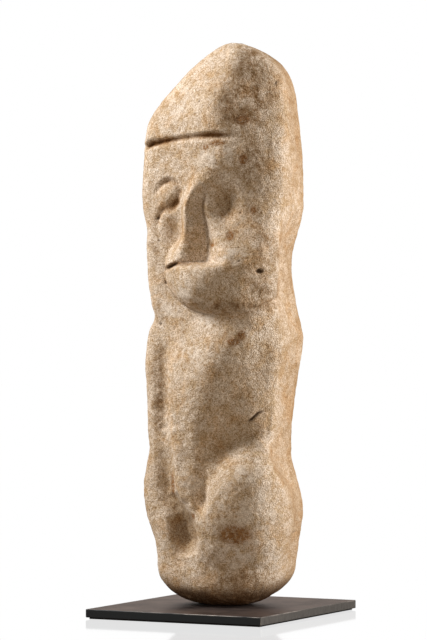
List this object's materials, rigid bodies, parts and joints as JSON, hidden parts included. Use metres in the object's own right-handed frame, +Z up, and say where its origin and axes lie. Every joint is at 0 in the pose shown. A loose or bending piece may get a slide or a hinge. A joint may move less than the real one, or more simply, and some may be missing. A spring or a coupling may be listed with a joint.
{
  "type": "carved stone figure on a display plate",
  "caption": "Standing boulder figure with a slanted cap, wedge nose, heavy jaw and forearms in low relief, on a thin dark steel plate with felt under it.",
  "frame": {"origin": "middle of the felt's underside, on the surface that the stand rests on", "axes": "+Z up along the figure, -Y the way its face looks, +X towards its left hand"},
  "size_m": [0.19, 0.212, 0.5581],
  "materials": {
    "coarse_stone": "weathered coarse-grained buff stone, matt and open-pored, greyed and rust-stained in places",
    "dark_steel": "dark hot-rolled steel plate, satin, with bare bright arrises",
    "felt": "thin black felt"
  },
  "bodies": {
    "root": {"stone_figure": "coarse_stone", "display_plate": "dark_steel", "felt_underlay": "felt"}
  },
  "joints": []
}
